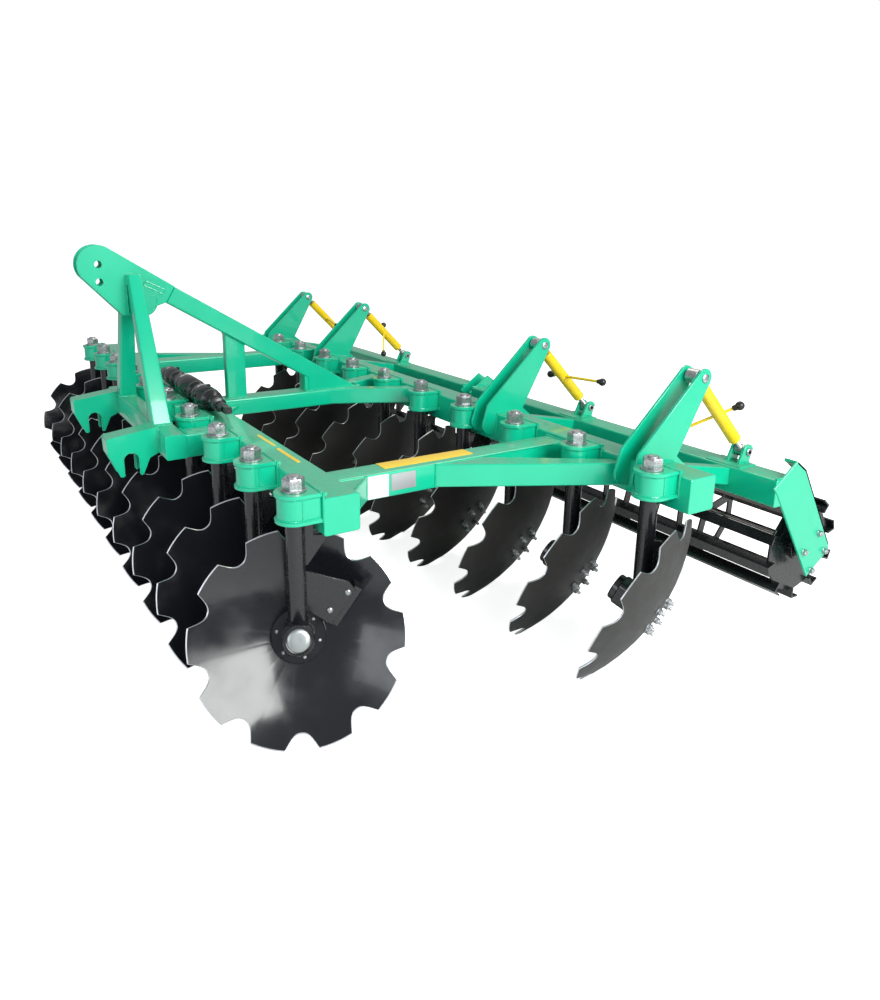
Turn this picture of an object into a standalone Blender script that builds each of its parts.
"""A mounted disc harrow: two rows of notched discs, each disc on its own post, and two cage rollers behind.

Metres, +Z up. The machine drives towards -Y, its left side is +X, and it stands with its discs on z = 0.
The origin is on the floor under the middle of the whole outline.
"""

import bmesh
import bpy
from math import asin, atan2, cos, pi, radians, sin, sqrt
from mathutils import Matrix, Vector

# Rows of posts
PITCH = 0.300
POSTS_PER_ROW = 10
ROW_SHIFT = 0.320  # the rear row stands this much further to the left
FRONT_Y = -0.738
ROW_GAP = 0.908
REAR_Y = FRONT_Y + ROW_GAP
LAST_POST_X = (PITCH * (POSTS_PER_ROW - 1) + ROW_SHIFT) / 2

# Discs
DISC_R = 0.280
DISC_T = 0.006
DISH_R = 0.600
NOTCHES = 10
NOTCH_HALF_W = 0.043
NOTCH_DEPTH = 0.039
ATTACK = radians(22)
TILT = radians(23)
DISH_GAP = 0.02534003  # from a post's surface back to the deepest point of the disc's hollow
FLANGE_R = 0.072
FLANGE_T = 0.013

# Frame
BEAM_W = 0.100
BEAM_TOP = 0.635
BEAM_BACK = 0.055  # from a row of posts back to its beam
BEAM_PAST = 0.090  # from the last post on to its beam's end
FRONT_BEAM_SHORT = 0.055  # the same at the front beam's left end
FRONT_BEAM_X = (-LAST_POST_X - BEAM_PAST, LAST_POST_X - ROW_SHIFT + FRONT_BEAM_SHORT)
REAR_BEAM_X = (-LAST_POST_X - BEAM_PAST, LAST_POST_X + BEAM_PAST)
SIDE_X = LAST_POST_X - 1.5 * PITCH - 0.005  # between the second and the third post
SIDE_W = 0.090
SIDE_Z = (0.548, 0.622)
CENTRE_W = 0.090
CENTRE_Z = (0.568, 0.632)
FORK_Y = REAR_Y - 0.240
FORK_X = 0.160
BRACE_W = 0.064
BRACE_SLOPE = -0.598
BRACE_TOP = ((FRONT_Y + 0.045, 1.060), (FRONT_Y + 0.012, 1.006))  # its upper and its lower corner
BRACE_KNEE = FRONT_Y + 0.549
UPRIGHT_Y = (FRONT_Y + 0.222, FRONT_Y + 0.298)
UPRIGHT_W = 0.036
GUSSET = (0.315, 0.240)  # how far a corner gusset reaches along the front beam and along the middle beam
GUSSET_T = 0.010
STRUT_REACH = PITCH - 0.038  # past the next post's socket
STRUT_RUN = 0.490
STRUT_END_W = 0.054
WEDGE = (0.100, 0.095)
CLEAR = 0.0003  # between pieces that touch
BITE = 0.004  # how far joined shapes run into each other

# Sockets that clamp the posts
SLEEVE_R = 0.044
PLATE_R = 0.050
SLEEVE_Z = (0.572, 0.640)
PLATE_T = 0.010
POST_R = 0.025
HUB_R = 0.044
HUB_END = 0.086
FIN_T = 0.010
ARM_T = 0.008

# Hitch
HEAD_HALF = 1.5 * PITCH  # the stub tubes stand between two sockets
HEAD_Y = (FRONT_Y - 0.125, FRONT_Y - 0.056)
HEAD_Z = (0.548, 0.628)
STUB_W = 0.080
HOOK_X = HEAD_HALF - 0.130
HOOK_HALF = 0.040
HOOK_PLATE_T = 0.010
SLOT_R = 0.025
SLOT_BACK = 0.088  # from the cross tube's front face to the slot's middle
SLOT_Z = 0.541
COLUMN_FOOT = (0.258, 0.0635, 0.062)  # distance out, width and depth
COLUMN_HEAD = (0.061, 0.0500, 0.042)
COLUMN_Y = (FRONT_Y - 0.0925, FRONT_Y - 0.0985)  # of the foot and of the head
COLUMN_TOP_Z = 1.108
TOP_PLATE_HALF = 0.037
TOP_PLATE_T = 0.012
NOSE_Y = FRONT_Y - 0.204
NOSE_Z = 1.138
NOSE_R = 0.068
LINK_HOLES = (1.142, 1.083)
LINK_HOLE_R = 0.0125
SHAFT_X = (-0.430, 0.400)
SHAFT_Y = FRONT_Y + 0.100
SHAFT_R = 0.026
SHAFT_BODIES = ((-0.350, -0.200, 0.036), (-0.130, 0.060, 0.041), (0.090, 0.235, 0.041))  # from, to, radius

# Towers, jacks and rollers
TOWER_XS = (LAST_POST_X - 0.100, LAST_POST_X - ROW_SHIFT - 2 * PITCH + 0.110)  # between sockets
TOWER_GAP = 0.028  # half the gap between a tower's two plates
TOWER_T = 0.010
BEAM_REAR = REAR_Y + BEAM_BACK + BEAM_W  # the rear beam's back face
TOWER_PIN = Vector((0.0, BEAM_REAR + 0.107, 0.866))
PIVOT = Vector((0.0, BEAM_REAR + 0.042, 0.585))
CLEVIS_PIN = Vector((0.0, BEAM_REAR + 0.367, 0.604))
ROLLER_BEAM_Y = (BEAM_REAR + 0.287, BEAM_REAR + 0.377)
ROLLER_BEAM_Z = (0.482, 0.568)
ROLLER_X = (0.030, REAR_BEAM_X[1])
ROLLER_AXIS = Vector((0.0, BEAM_REAR + 0.527, 0.290))
ROLLER_R = 0.175
ROLLER_BARS = 10
RING_R = 0.158
BAR_LEG = 0.034
BAR_T = 0.006
END_PLATE_T = 0.008
BARREL_R = 0.0200
BARREL_BORE = 0.0115
ROD_R = 0.0095
BARREL_FROM = 0.054
BARREL_TO = 0.311
HANDLE_REACH = (0.200, 0.065)  # from the tube's axis to each knob
HANDLE_TURNS = {"left": (225, 4), "right": (350, 322)}  # degrees round the tube, outer and inner jack
HANDLE_R = 0.0055
KNOB_R = 0.014
EYE_R = 0.022
SCREW_FROM = 0.149  # from the tower's pin to the screw's upper end
ARM_W = 0.045
EAR_GAP = 0.016  # half the gap between a clevis's two ears
EAR_T = 0.010
EAR_R = 0.022
BEARING_R = 0.042
BEARING_REACH = 0.0200
SPIN_GAP = 0.0005  # from a turning shaft's end to its bearing
RINGS = 5
RING_T = 0.008
FIRST_BAR = radians(16)

for old in list(bpy.data.objects):
    bpy.data.objects.remove(old, do_unlink=True)


def paint(name, colour, roughness, metallic=0.0):
    material = bpy.data.materials.new(name)
    material.use_nodes = True
    shader = material.node_tree.nodes["Principled BSDF"]
    shader.inputs["Base Color"].default_value = (*colour, 1.0)
    shader.inputs["Roughness"].default_value = roughness
    shader.inputs["Metallic"].default_value = metallic
    return material


GREEN = paint("green_paint", (0.0, 0.42, 0.24), 0.35)
BLACK = paint("black_paint", (0.012, 0.012, 0.014), 0.25)
YELLOW = paint("yellow_paint", (0.85, 0.60, 0.01), 0.4)
ZINC = paint("zinc", (0.62, 0.62, 0.64), 0.35, 1.0)


def finish(name, mesh, material, origin=(0.0, 0.0, 0.0)):
    """An object that holds this mesh, with its origin moved onto a joint's axis where it has one."""
    origin = Vector(origin)
    mesh.transform(Matrix.Translation(-origin))
    mesh.materials.clear()
    mesh.materials.append(material)
    obj = bpy.data.objects.new(name, mesh)
    bpy.context.collection.objects.link(obj)
    obj.location = origin
    mesh.shade_smooth()
    mesh.set_sharp_from_angle(angle=radians(35))
    return obj


def mesh_of(bm):
    bmesh.ops.recalc_face_normals(bm, faces=bm.faces)
    mesh = bpy.data.meshes.new("shape")
    bm.to_mesh(mesh)
    bm.free()
    return mesh


def prism(outline, low, high, axis="X"):
    """A closed outline swept along one axis. Its points are (y, z) for X, (x, z) for Y and (x, y) for Z."""
    place = {
        "X": lambda a, b, c: (c, a, b),
        "Y": lambda a, b, c: (a, c, b),
        "Z": lambda a, b, c: (a, b, c),
    }[axis]
    bm = bmesh.new()
    ends = [[bm.verts.new(place(a, b, c)) for a, b in outline] for c in (low, high)]
    bm.faces.new(ends[0])
    bm.faces.new(ends[1])
    for i in range(len(outline)):
        j = (i + 1) % len(outline)
        bm.faces.new((ends[0][i], ends[0][j], ends[1][j], ends[1][i]))
    return mesh_of(bm)


def box(x, y, z):
    return prism([(x[0], y[0]), (x[1], y[0]), (x[1], y[1]), (x[0], y[1])], z[0], z[1], "Z")


def rod(start, end, radius, sides=12):
    """A cylinder between two points."""
    start, end = Vector(start), Vector(end)
    along = end - start
    turn = along.to_track_quat("Z", "Y").to_matrix()
    bm = bmesh.new()
    rings = []
    angles = [2 * pi * (i + 0.5) / sides for i in range(sides)]
    circle = [turn @ Vector((radius * cos(a), radius * sin(a), 0)) for a in angles]
    for centre in (start, end):
        rings.append([bm.verts.new(centre + point) for point in circle])
    bm.faces.new(rings[0])
    bm.faces.new(rings[1])
    for i in range(sides):
        j = (i + 1) % sides
        bm.faces.new((rings[0][i], rings[0][j], rings[1][j], rings[1][i]))
    return mesh_of(bm)


def tapered(foot, head):
    """A bar with a rectangular foot and head, each given as (x, y, z, width along x, depth along y)."""
    bm = bmesh.new()
    rings = []
    for x, y, z, wide, deep in (foot, head):
        corners = ((-1, -1), (1, -1), (1, 1), (-1, 1))
        rings.append([bm.verts.new((x + a * wide / 2, y + b * deep / 2, z)) for a, b in corners])
    bm.faces.new(rings[0])
    bm.faces.new(rings[1])
    for i in range(4):
        j = (i + 1) % 4
        bm.faces.new((rings[0][i], rings[0][j], rings[1][j], rings[1][i]))
    return mesh_of(bm)


def turned(start, profile, sides=12):
    """A round bar along +X from a start point; its profile is a list of (distance, radius)."""
    start = Vector(start)
    bm = bmesh.new()
    rings = []
    for distance, r in profile:
        angles = [2 * pi * (i + 0.5) / sides for i in range(sides)]
        rings.append([bm.verts.new(start + Vector((distance, r * cos(a), r * sin(a)))) for a in angles])
    bm.faces.new(rings[0])
    bm.faces.new(rings[-1])
    for one, two in zip(rings, rings[1:]):
        for i in range(sides):
            j = (i + 1) % sides
            bm.faces.new((one[i], one[j], two[j], two[i]))
    return mesh_of(bm)


def ball(centre, radius):
    bm = bmesh.new()
    bmesh.ops.create_icosphere(bm, subdivisions=1, radius=radius)
    bmesh.ops.translate(bm, verts=bm.verts, vec=centre)
    return mesh_of(bm)


def combine(meshes, operation="UNION"):
    """One mesh from several, by Boolean operations in turn."""
    base = bpy.data.objects.new("base", meshes[0])
    bpy.context.collection.objects.link(base)
    for mesh in meshes[1:]:
        tool = bpy.data.objects.new("tool", mesh)
        bpy.context.collection.objects.link(tool)
        step = base.modifiers.new("step", "BOOLEAN")
        step.operation = operation
        step.solver = "EXACT"
        step.object = tool
        bpy.context.view_layer.update()
        graph = bpy.context.evaluated_depsgraph_get()
        result = bpy.data.meshes.new_from_object(base.evaluated_get(graph))
        base.modifiers.remove(step)
        base.data = result
        bpy.data.objects.remove(tool, do_unlink=True)
    result = base.data
    bpy.data.objects.remove(base, do_unlink=True)
    return result


def arc(centre, radius, start, end, steps):
    """Points on an arc, in degrees, both ends included."""
    angles = [radians(start + (end - start) * i / steps) for i in range(steps + 1)]
    return [(centre[0] + radius * cos(a), centre[1] + radius * sin(a)) for a in angles]


def post_xs(side):
    """The x of each post in a row, from the left. side is +1 for the rear row and -1 for the front one."""
    first = LAST_POST_X if side > 0 else LAST_POST_X - ROW_SHIFT
    return [first - PITCH * i for i in range(POSTS_PER_ROW)]


# The way a disc's hollow side faces, in each row, and the height of its hub.
def hollow_way(side):
    return Vector((-side * cos(ATTACK) * cos(TILT), -sin(ATTACK) * cos(TILT), sin(TILT)))


DISH_DEPTH = DISH_R - sqrt(DISH_R**2 - DISC_R**2)
RIM_AHEAD = DISH_DEPTH - POST_R - DISH_GAP  # from the post's axis to the rim's plane, on the hollow side
LOBE_EDGE = asin(NOTCH_HALF_W / DISC_R)
FLANGE_RISE = DISH_R - sqrt(DISH_R**2 - FLANGE_R**2)
FLANGE_FACE = RIM_AHEAD - DISH_DEPTH + FLANGE_RISE + FLANGE_T  # measured from the post's axis
RIM_Z = DISC_R * cos(TILT) * cos(LOBE_EDGE) + DISC_T * sin(TILT)
HUB_Z = RIM_Z - RIM_AHEAD * sin(TILT)


def socket(x, y, back):
    """A sleeve between two plates, rounded in front and running back into its beam."""

    def outline(radius):
        return arc((x, y), radius, 180, 360, 6) + [(x + radius, back), (x - radius, back)]

    low, high = SLEEVE_Z
    return [
        prism(outline(SLEEVE_R), low + PLATE_T / 2, high + PLATE_T / 2, "Z"),
        prism(outline(PLATE_R), low, low + PLATE_T, "Z"),
        prism(outline(PLATE_R), high, high + PLATE_T, "Z"),
    ]


def tower_outline(y, top):
    """One tower plate: over the beam, down its front and back, and up to the jack's pin."""
    beam_front, beam_back = y + BEAM_BACK, y + BEAM_BACK + BEAM_W
    pin = (TOWER_PIN.y, TOWER_PIN.z)
    foot = (PIVOT.y, PIVOT.z)
    return (
        [(beam_front + BITE, 0.556), (y + 0.012, 0.566)]
        + arc((y + 0.030, 0.600), 0.034, 225, 150, 3)
        + [(y + 0.016, 0.672)]
        + arc(pin, 0.028, 145, -28, 5)
        + [(beam_back + 0.018, 0.645)]
        + arc(foot, 0.032, 60, -110, 4)
        + [(beam_back - BITE, foot[1] - 0.030), (beam_back - BITE, top - BITE)]
        + [(beam_front + BITE, top - BITE)]
    )


def beam(name, side):
    """A cross beam with its ten sockets; the rear one carries the four towers too."""
    row_y = REAR_Y if side > 0 else FRONT_Y
    span = REAR_BEAM_X if side > 0 else FRONT_BEAM_X
    front = row_y + BEAM_BACK
    shapes = [box(span, (front, front + BEAM_W), (BEAM_TOP - BEAM_W, BEAM_TOP))]
    for x in post_xs(side):
        shapes += socket(x, row_y, front + 0.012)
    if side > 0:
        for x in [s * t for t in TOWER_XS for s in (1, -1)]:
            for way in (-1, 1):
                inner = x + way * TOWER_GAP
                faces = sorted((inner, inner + way * TOWER_T))
                shapes.append(prism(tower_outline(row_y, BEAM_TOP), *faces, "X"))
    return finish(name, combine(shapes), GREEN)


def side_beam(name, way):
    """A long side beam and the strut to the longer beam end; the left one has a wedge in its front corner."""
    front, rear = FRONT_Y + BEAM_BACK + BEAM_W + CLEAR, REAR_Y + BEAM_BACK - CLEAR
    x = way * SIDE_X
    outer = x + way * SIDE_W / 2
    inside = outer - way * 0.020
    low, high = SIDE_Z
    shapes = [box(sorted((x - way * SIDE_W / 2, outer)), (front, rear), SIDE_Z)]
    # On the left the rear beam reaches past the side beam, and on the right the front beam does.
    tip = rear if way > 0 else front
    root = tip - way * STRUT_RUN
    toe = way * 0.130
    strut = [
        (inside, root),
        (outer, root),
        (outer + way * STRUT_REACH, tip),
        (outer + way * (STRUT_REACH - STRUT_END_W), tip),
        (inside, root + toe),
    ]
    shapes.append(prism(strut, low + 0.003, high - 0.003, "Z"))
    if way > 0:
        reach, run = WEDGE
        wedge = [(inside, front), (outer + reach, front), (outer, front + run), (inside, front + run)]
        shapes.append(prism(wedge, low + 0.001, high - 0.004, "Z"))
    return finish(name, combine(shapes), GREEN)


def centre_beam():
    """The middle beam with its forked end, its corner gussets, and the sloping brace on its two uprights."""
    front = FRONT_Y + BEAM_BACK + BEAM_W + CLEAR
    rear = REAR_Y + BEAM_BACK - CLEAR
    half = CENTRE_W / 2
    low, high = CENTRE_Z
    shapes = [box((-half, half), (front, FORK_Y + 0.040), CENTRE_Z)]
    arm_half = 0.034
    for way in (-1, 1):
        fork = [
            (way * 0.004, FORK_Y - 0.030),
            (way * half, FORK_Y - 0.030),
            (way * (FORK_X + arm_half), rear),
            (way * (FORK_X - arm_half), rear),
            (way * 0.004, FORK_Y + 0.030),
        ]
        shapes.append(prism(fork, low + 0.002, high - 0.002, "Z"))
        inside = way * (half - BITE)
        gusset = [(inside, front), (way * GUSSET[0], front), (inside, front + GUSSET[1])]
        gusset_low = low + 0.024
        shapes.append(prism(gusset, gusset_low, gusset_low + GUSSET_T, "Z"))
    wide = BRACE_W / 2
    brace = [
        BRACE_TOP[0],
        (BRACE_FOOT, high - BITE),
        (BRACE_KNEE, high - BITE),
        (BRACE_KNEE, BRACE_KNEE_Z),
        BRACE_TOP[1],
    ]
    shapes.append(prism(brace, -wide, wide, "X"))
    upright_top = BRACE_KNEE_Z - BRACE_SLOPE * (BRACE_KNEE - UPRIGHT_Y[0]) + 0.010
    shapes.append(box((-UPRIGHT_W / 2, UPRIGHT_W / 2), UPRIGHT_Y, (high - BITE, upright_top)))
    return finish("centre_beam", combine(shapes), GREEN)


# Where the brace comes down on the middle beam, and the height of its underside at the rear upright.
BRACE_FOOT = BRACE_TOP[0][0] + (CENTRE_Z[1] - BITE - BRACE_TOP[0][1]) / BRACE_SLOPE
BRACE_KNEE_Z = BRACE_TOP[1][1] + BRACE_SLOPE * (BRACE_KNEE - BRACE_TOP[1][0])


def hook(x):
    """Two side plates with a slot that opens downwards, under a sloping cap."""
    y = HEAD_Y[0]
    slot_y = y - SLOT_BACK
    lip = 0.008
    flush = HEAD_Z[1] - 0.0015  # under the tube's top, where a column stands
    plate = (
        [(y + BITE, flush), (y - 0.001, flush), (y - 0.001, 0.640), (y - 0.160, 0.618), (y - 0.158, 0.566)]
        + [(slot_y - SLOT_R - lip, 0.486), (slot_y - SLOT_R, 0.486)]
        + arc((slot_y, SLOT_Z), SLOT_R, 180, 0, 6)
        + [(slot_y + SLOT_R, 0.486), (slot_y + SLOT_R + lip, 0.486), (y - 0.030, 0.540), (y + BITE, 0.556)]
    )
    shapes = []
    for side in (-1, 1):
        outer = x + side * HOOK_HALF
        shapes.append(prism(plate, *sorted((outer, outer - side * HOOK_PLATE_T)), "X"))
    cap = (
        [(y - 0.001, 0.640), (y - 0.160, 0.618), (y - 0.160, 0.610), (y - 0.001, 0.620)]
        + [(y + BITE, 0.620), (y + BITE, flush), (y - 0.001, flush)]
    )
    shapes.append(prism(cap, x - HOOK_HALF + 0.002, x + HOOK_HALF - 0.002, "X"))
    return shapes


def headstock():
    """The cross tube in front of the front beam, the two stub tubes that carry it, and the lower hooks."""
    shapes = [box((-HEAD_HALF, HEAD_HALF), HEAD_Y, HEAD_Z)]
    stub_y = (HEAD_Y[1] - BITE, FRONT_Y + BEAM_BACK - CLEAR)
    stub_z = (HEAD_Z[0] + 0.001, HEAD_Z[1] - 0.001)
    for way in (-1, 1):
        outer = way * HEAD_HALF
        shapes.append(box(sorted((outer, outer - way * STUB_W)), stub_y, stub_z))
        shapes += hook(way * HOOK_X)
    return finish("headstock", combine(shapes), GREEN)


def mast():
    """Two columns that lean together and narrow upwards, and the pair of drilled top-link plates."""
    shapes = []
    for way in (-1, 1):
        foot = (way * COLUMN_FOOT[0], COLUMN_Y[0], HEAD_Z[1] + CLEAR, *COLUMN_FOOT[1:])
        head = (way * COLUMN_HEAD[0], COLUMN_Y[1], COLUMN_TOP_Z, *COLUMN_HEAD[1:])
        shapes.append(tapered(foot, head))
        # A seat between the leaning column and the upright plate, so that they meet over a square face.
        seat_x = sorted((way * (TOP_PLATE_HALF - BITE), way * COLUMN_HEAD[0]))
        seat_deep = COLUMN_HEAD[2] / 2 + 0.002
        seat_y = (COLUMN_Y[1] - seat_deep, COLUMN_Y[1] + seat_deep)
        shapes.append(box(seat_x, seat_y, (COLUMN_TOP_Z - 0.036, COLUMN_TOP_Z - 0.002)))
    rear_top, rear_low = BRACE_TOP
    plate = (
        arc((NOSE_Y, NOSE_Z), NOSE_R, 212, 62, 8)
        + [(rear_top[0] - CLEAR, rear_top[1] + 0.002), (rear_low[0] - CLEAR, rear_low[1])]
        + arc((FRONT_Y - 0.066, 1.010), 0.048, -18, -112, 3)
        + [(FRONT_Y - 0.137, 0.968)]
    )
    for way in (-1, 1):
        outer = way * TOP_PLATE_HALF
        shapes.append(prism(plate, *sorted((outer, outer - way * TOP_PLATE_T)), "X"))
    between = TOP_PLATE_HALF - BITE
    deep = COLUMN_HEAD[2] / 2 - 0.001
    block_y = (COLUMN_Y[1] - deep, COLUMN_Y[1] + deep)
    shapes.append(box((-between, between), block_y, (0.985, COLUMN_TOP_Z - 0.006)))
    past = 2 * TOP_PLATE_HALF
    holes = [rod((-past, NOSE_Y, z), (past, NOSE_Y, z), LINK_HOLE_R) for z in LINK_HOLES]
    return finish("mast", combine([combine(shapes)] + holes, "DIFFERENCE"), GREEN)


def hitch_shaft():
    """The stepped cross shaft that lies on the front beam on its thick bodies."""
    start = SHAFT_X[0]
    profile = [(0.000, 0.017), (0.055, 0.017), (0.055, SHAFT_R)]
    for low, high, radius in SHAFT_BODIES:
        profile += [(low - start, SHAFT_R), (low - start + 0.006, radius)]
        profile += [(high - start - 0.006, radius), (high - start, SHAFT_R)]
    length = SHAFT_X[1] - start
    profile += [(length - 0.140, SHAFT_R), (length - 0.095, 0.024), (length - 0.095, 0.016), (length, 0.016)]
    thickest = max(radius for _, _, radius in SHAFT_BODIES)
    return finish("hitch_shaft", turned((start, SHAFT_Y, BEAM_TOP + thickest + CLEAR), profile), BLACK)


def post(name, x, side):
    """A round post with a fin under its clamp, the scraper's arm behind it and the housing at its foot."""
    y = REAR_Y if side > 0 else FRONT_Y
    way = hollow_way(side)
    hub = Vector((x, y, HUB_Z))
    shapes = [
        rod(hub, (x, y, SLEEVE_Z[0] - CLEAR), POST_R, 10),
        rod(hub + way * (FLANGE_FACE + CLEAR), hub + way * HUB_END, HUB_R, 12),
    ]
    # Both plates stand in the disc's own upright plane; their points are (distance behind the post, z).
    top = SLEEVE_Z[0] - 0.004
    under = BEAM_TOP - BEAM_W - 0.002
    fin = [
        (0.0, top),
        (0.046, top),
        (0.046, under),
        (0.084, under),
        (0.078, under - 0.011),
        (0.030, 0.452),
        (0.0, 0.440),
    ]
    arm = [
        (0.0, 0.438),
        (0.030, 0.434),
        (0.133, 0.397),
        (0.150, 0.372),
        (0.086, 0.280),
        (0.028, 0.322),
        (0.0, 0.322),
    ]
    turn = atan2(cos(ATTACK), -side * sin(ATTACK))
    for outline, thick in ((fin, FIN_T), (arm, ARM_T)):
        plate = prism(outline, -thick / 2, thick / 2, "Y")
        plate.transform(Matrix.Translation((x, y, 0)) @ Matrix.Rotation(turn, 4, "Z"))
        shapes.append(plate)
    return finish(name, combine(shapes), BLACK)


def disc_mesh():
    """The notched, dished disc with its flange: its own +Z is where its hollow faces; z = 0 is the rim."""
    outline = []
    for i in range(NOTCHES):
        middle = 2 * pi * i / NOTCHES
        for turn, r in (
            (-LOBE_EDGE, DISC_R),
            (-0.62 * LOBE_EDGE, DISC_R - 0.80 * NOTCH_DEPTH),
            (0.0, DISC_R - NOTCH_DEPTH),
            (0.62 * LOBE_EDGE, DISC_R - 0.80 * NOTCH_DEPTH),
            (LOBE_EDGE, DISC_R),
        ):
            outline.append((middle + turn, r))
    rings = [[(2 * pi * i / NOTCHES, r) for i in range(NOTCHES)] for r in (FLANGE_R, 0.165)]

    def height(r):
        return DISH_R - sqrt(DISH_R**2 - r**2) - DISH_DEPTH

    bm = bmesh.new()

    def ring(points, lift):
        return [bm.verts.new((r * cos(a), r * sin(a), height(r) + lift)) for a, r in points]

    def band(inner, outer):
        """Joins two rings, the outer of which may have several times as many points."""
        times = len(outer) // len(inner)
        half = times // 2
        for i, vert in enumerate(inner):
            nxt = inner[(i + 1) % len(inner)]
            run = [outer[(i * times + k) % len(outer)] for k in range(times + 1)]
            split = half + 1 if times > 1 else 1
            for k in range(times):
                bm.faces.new((vert if k < split else nxt, run[k], run[k + 1]))
            bm.faces.new((vert, run[split], nxt))

    top = [ring(rings[0], FLANGE_T)] + [ring(points, 0.0) for points in (rings[0], rings[1], outline)]
    low = [ring(points, -DISC_T) for points in (rings[0], rings[1], outline)]
    bm.faces.new(top[0])
    bm.faces.new(low[0])
    band(top[0], top[1])
    band(top[1], top[2])
    band(top[2], top[3])
    band(low[0], low[1])
    band(low[1], low[2])
    band(top[3], low[2])
    return mesh_of(bm)


def disc(name, x, side):
    y = REAR_Y if side > 0 else FRONT_Y
    way = hollow_way(side)
    down = Vector((0, 0, -1))
    low = (down - way * down.dot(way)).normalized()
    turn = Matrix((low, way.cross(low), way)).transposed().to_4x4()
    hub = Vector((x, y, HUB_Z))
    obj = finish(name, disc_mesh(), BLACK)
    obj.matrix_world = Matrix.Translation(hub + way * RIM_AHEAD) @ turn
    return obj


def roller_frame(name, side):
    """Beam, arms, end plates and clevises of one roller, hung on the two tower pivots."""
    near, far = side * ROLLER_X[0], side * ROLLER_X[1]
    beam_front, beam_rear = ROLLER_BEAM_Y
    beam_top = ROLLER_BEAM_Z[1]
    shapes = [box(sorted((near, far)), ROLLER_BEAM_Y, ROLLER_BEAM_Z)]
    pivot_reach = TOWER_GAP - SPIN_GAP
    for x in (side * t for t in TOWER_XS):
        arm = [
            (PIVOT.y, PIVOT.z + 0.026),
            (beam_front + BITE, beam_top - 0.006),
            (beam_front + BITE, beam_top - 0.062),
            (PIVOT.y, PIVOT.z - 0.026),
        ]
        shapes.append(prism(arm, x - ARM_W / 2, x + ARM_W / 2, "X"))
        ends = [(x + way * pivot_reach, PIVOT.y, PIVOT.z) for way in (-1, 1)]
        shapes.append(rod(*ends, 0.028, 12))
        ear = (
            [(CLEVIS_PIN.y - 0.045, beam_top - BITE)]
            + arc((CLEVIS_PIN.y, CLEVIS_PIN.z), EAR_R, 160, 20, 4)
            + [(beam_rear - 0.004, beam_top - BITE)]
        )
        for way in (-1, 1):
            inner = x + way * EAR_GAP
            shapes.append(prism(ear, *sorted((inner, inner + way * EAR_T)), "X"))
    y, z = ROLLER_AXIS.y, ROLLER_AXIS.z
    plate = [
        (y - 0.251, z + 0.254),
        (y - 0.151, z + 0.325),
        (y - 0.101, z + 0.291),
        (y + 0.079, z + 0.015),
        (y + 0.085, z - 0.009),
        (y - 0.020, z - 0.080),
        (y - 0.232, z + 0.232),
    ]
    for x, way in ((near, side), (far, -side)):
        inner = x + way * END_PLATE_T
        shapes.append(prism(plate, *sorted((x, inner)), "X"))
        shapes.append(rod((x + way * BITE, y, z), (inner + way * BEARING_REACH, y, z), BEARING_R, 12))
    return finish(name, combine(shapes), GREEN, PIVOT)


def roller(name, side):
    """A cage of angle bars on rings, turning between its end plates."""
    y, z = ROLLER_AXIS.y, ROLLER_AXIS.z
    shaft_in = END_PLATE_T + BEARING_REACH + SPIN_GAP
    inner, outer = ROLLER_X[0] + shaft_in, ROLLER_X[1] - shaft_in
    bars = (inner + 0.010, outer - 0.010)
    first_ring, last_ring = bars[0] + 0.020, bars[1] - 0.020
    shapes = []
    for i in range(RINGS):
        x = first_ring + (last_ring - first_ring) * i / (RINGS - 1)
        faces = (side * (x - RING_T / 2), side * (x + RING_T / 2))
        shapes.append(rod((faces[0], y, z), (faces[1], y, z), RING_R, ROLLER_BARS))
    shapes.append(rod((side * inner, y, z), (side * outer, y, z), 0.020, 10))
    corner = ROLLER_R - 0.002
    outline = [(0.0, 0.0), (BAR_LEG, 0.0), (BAR_LEG, BAR_T), (BAR_T, BAR_T), (BAR_T, BAR_LEG), (0.0, BAR_LEG)]
    for i in range(ROLLER_BARS):
        angle = 2 * pi * i / ROLLER_BARS + FIRST_BAR
        radial, across = Vector((cos(angle), sin(angle))), Vector((-sin(angle), cos(angle)))
        points = []
        for a, b in outline:
            point = radial * (corner - a) + across * (b - BAR_LEG / 2)
            points.append((y + point.x, z + point.y))
        shapes.append(prism(points, *sorted((side * bars[0], side * bars[1])), "X"))
    return finish(name, combine(shapes), BLACK, ROLLER_AXIS)


JACK_WAY = (CLEVIS_PIN - TOWER_PIN).normalized()
JACK_UP = Vector((0, -JACK_WAY.z, JACK_WAY.y))


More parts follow.
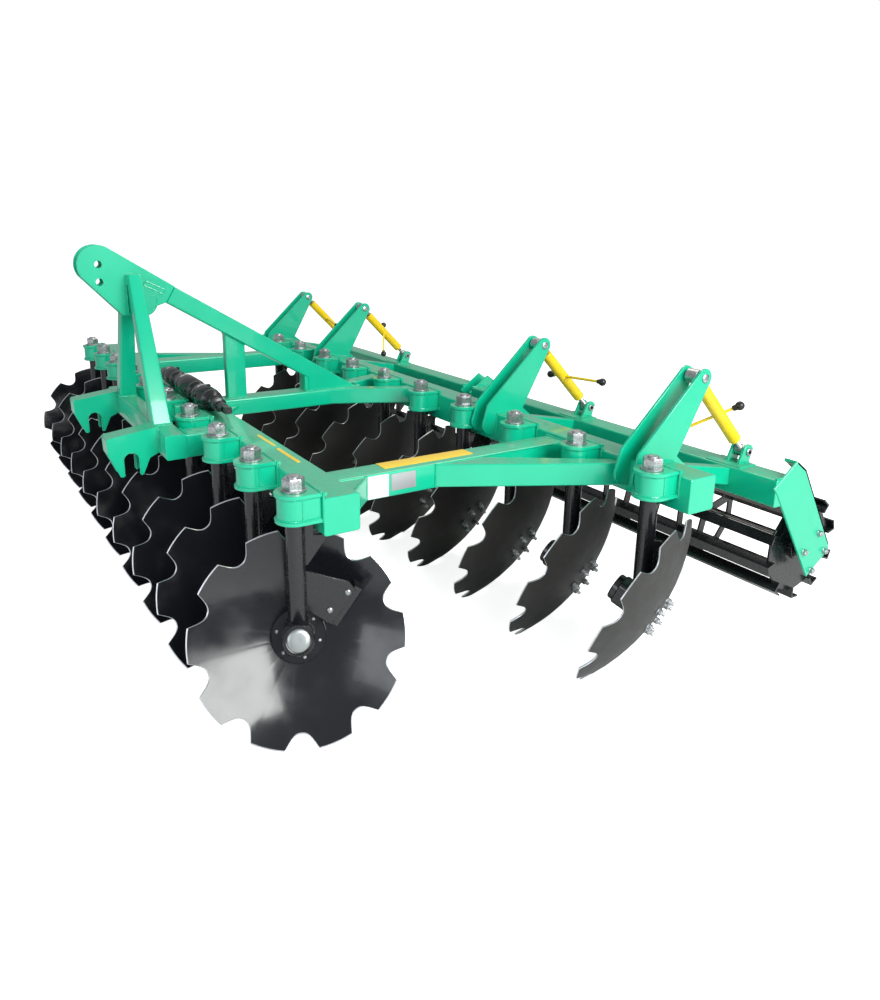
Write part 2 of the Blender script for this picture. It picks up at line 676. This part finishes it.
def jack_barrel(name, x, turn):
    """The threaded tube, its upper eye, and the bar that turns it, left at an angle round the tube."""
    pin = TOWER_PIN + Vector((x, 0, 0))
    outside = rod(pin + JACK_WAY * BARREL_FROM, pin + JACK_WAY * BARREL_TO, BARREL_R, 12)
    bore = rod(pin + JACK_WAY * (BARREL_FROM + 0.020), pin + JACK_WAY * (BARREL_TO + 0.010), BARREL_BORE, 12)
    tube = combine([outside, bore], "DIFFERENCE")
    middle = pin + JACK_WAY * (BARREL_FROM + BARREL_TO) / 2
    eye_reach = Vector((TOWER_GAP - 0.008, 0, 0))
    shapes = [
        tube,
        rod(pin, pin + JACK_WAY * (BARREL_FROM + BITE), 0.010, 10),
        rod(pin - eye_reach, pin + eye_reach, EYE_R, 12),
    ]
    handle = Vector((cos(radians(turn)), 0, 0)) + JACK_UP * sin(radians(turn))
    for out, reach in ((handle, HANDLE_REACH[0]), (-handle, HANDLE_REACH[1])):
        shapes.append(rod(middle + out * (BARREL_R - BITE), middle + out * reach, HANDLE_R, 8))
        shapes.append(ball(middle + out * reach, KNOB_R))
    return finish(name, combine(shapes), YELLOW, pin)


def jack_rod(name, x):
    """The screw that slides out of the tube, with the eye at its lower end."""
    pin = CLEVIS_PIN + Vector((x, 0, 0))
    length = (CLEVIS_PIN - TOWER_PIN).length
    eye_reach = Vector((EAR_GAP - SPIN_GAP, 0, 0))
    shapes = [
        rod(pin - JACK_WAY * (length - SCREW_FROM), pin, ROD_R, 10),
        rod(pin - eye_reach, pin + eye_reach, 0.019, 12),
    ]
    return finish(name, combine(shapes), ZINC, pin)


def build():
    beam("front_beam", -1)
    beam("rear_beam", 1)
    side_beam("side_beam_left", 1)
    side_beam("side_beam_right", -1)
    centre_beam()
    headstock()
    mast()
    hitch_shaft()
    for row, side in (("front", -1), ("rear", 1)):
        for i, x in enumerate(post_xs(side), 1):
            post(f"post_{row}_{i:02d}", x, side)
            disc(f"disc_{row}_{i:02d}", x, side)
    for word, side in (("left", 1), ("right", -1)):
        roller_frame(f"roller_frame_{word}", side)
        roller(f"roller_{word}", side)
        for place, x, turn in zip(("outer", "inner"), TOWER_XS, HANDLE_TURNS[word]):
            jack_barrel(f"jack_barrel_{word}_{place}", side * x, turn)
            jack_rod(f"jack_rod_{word}_{place}", side * x)


build()
